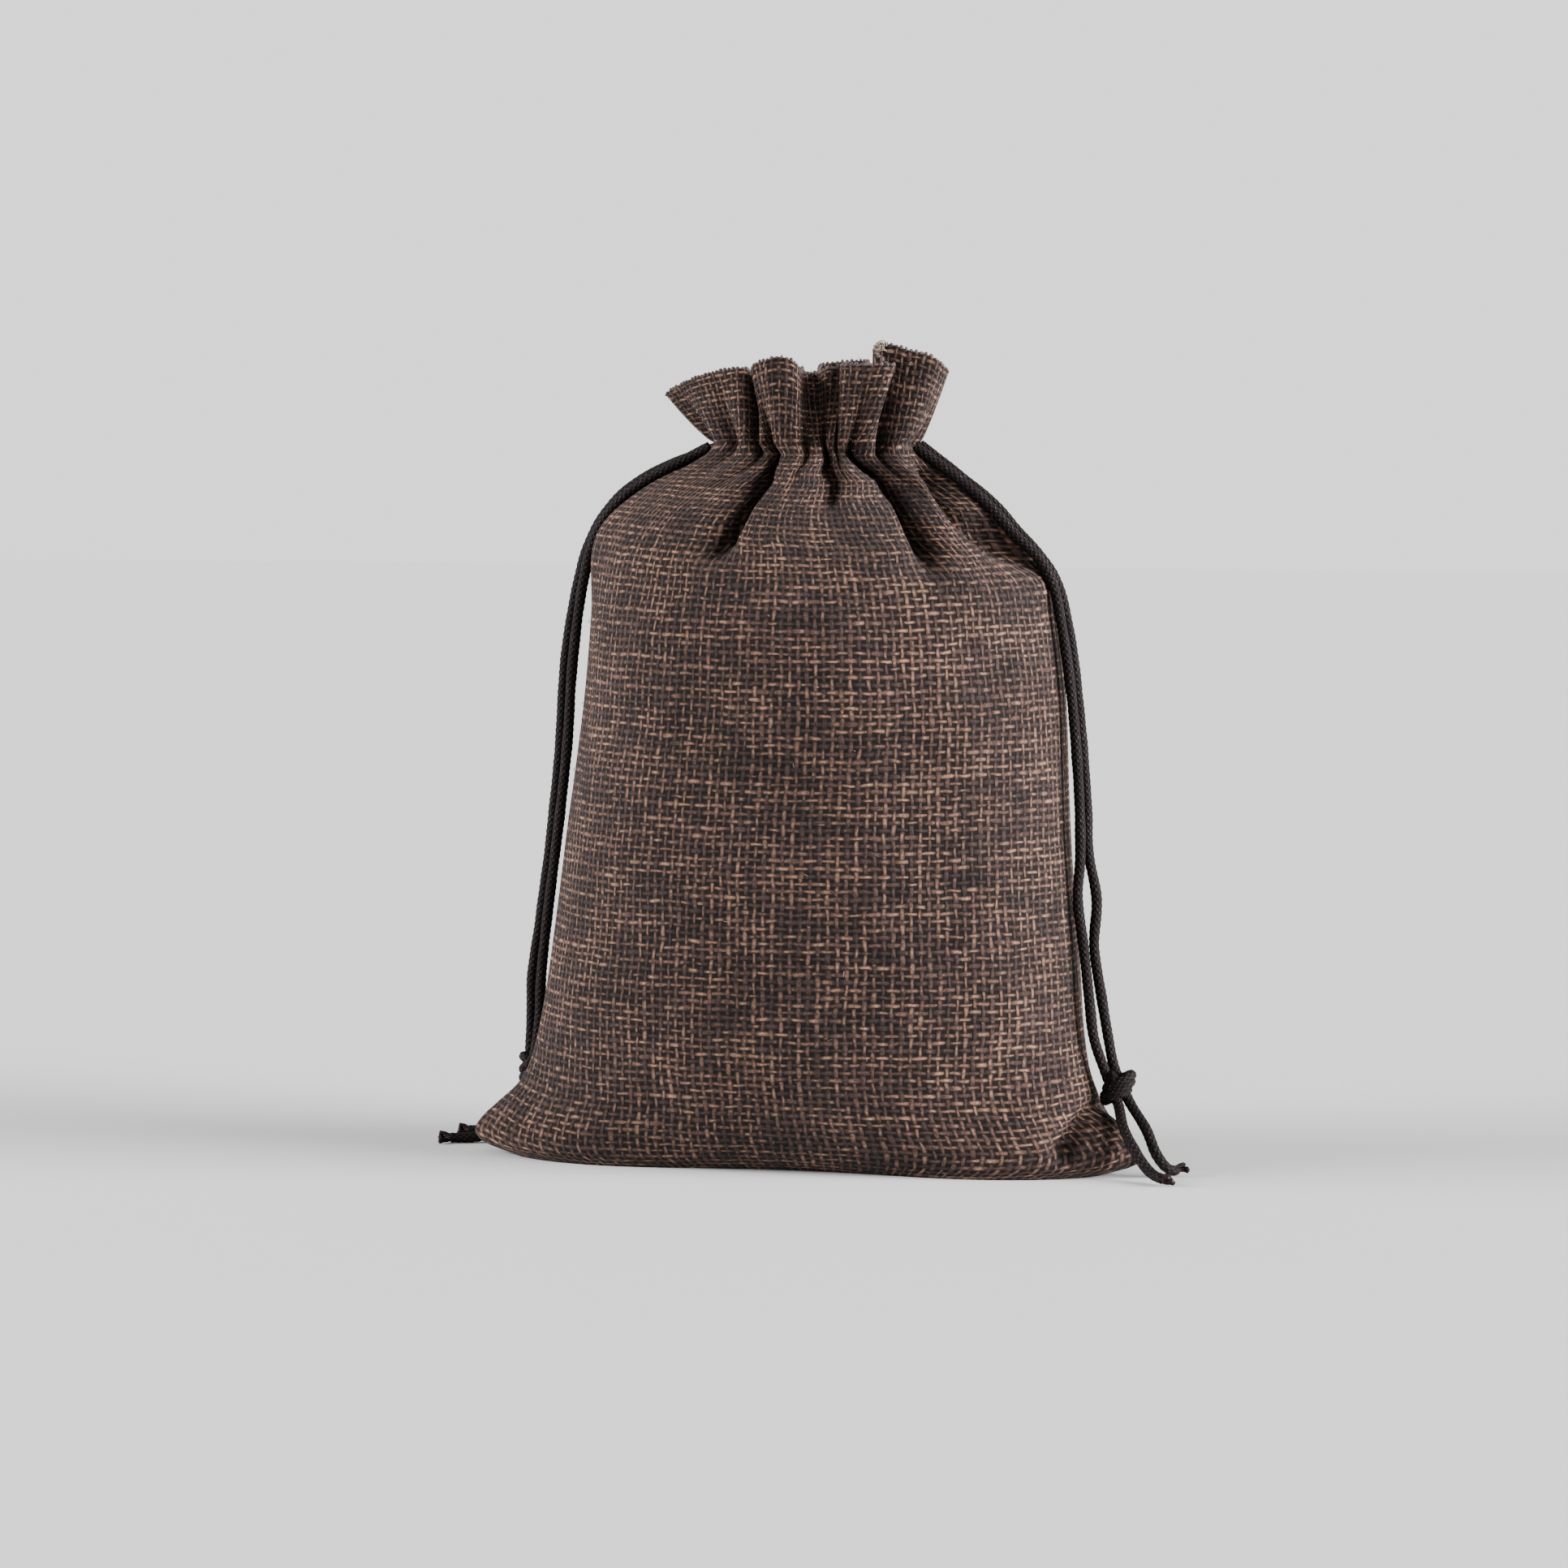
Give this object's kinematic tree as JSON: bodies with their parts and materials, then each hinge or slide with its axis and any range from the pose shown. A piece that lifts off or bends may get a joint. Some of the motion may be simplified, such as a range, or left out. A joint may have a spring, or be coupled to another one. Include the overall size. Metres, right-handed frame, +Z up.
{
  "type": "stuffed burlap drawstring sack",
  "caption": "Stuffed burlap sack that stands on a flat base with pointed corners. Its neck is drawn shut below a flared ruffle, and a knotted drawstring hangs down each side.",
  "frame": {"origin": "on the ground, under the middle of the sack", "axes": "+X to the sack's right as seen from its front, -Y out of its front, +Z up from the base to the ruffle"},
  "size_m": [0.1507, 0.0694, 0.1558],
  "materials": {
    "burlap": "matt open-looking plain weave of dark brown yarn with pale slubs",
    "braid": "dark braided cord with a slight sparkle"
  },
  "bodies": {
    "root": {"sack": "burlap", "cord_left_front": "braid", "cord_left_rear": "braid", "knot_left": "braid", "tail_left_front": "braid", "tail_left_rear": "braid", "cord_right_front": "braid", "cord_right_rear": "braid", "knot_right": "braid", "tail_right_front": "braid", "tail_right_rear": "braid"}
  },
  "joints": []
}
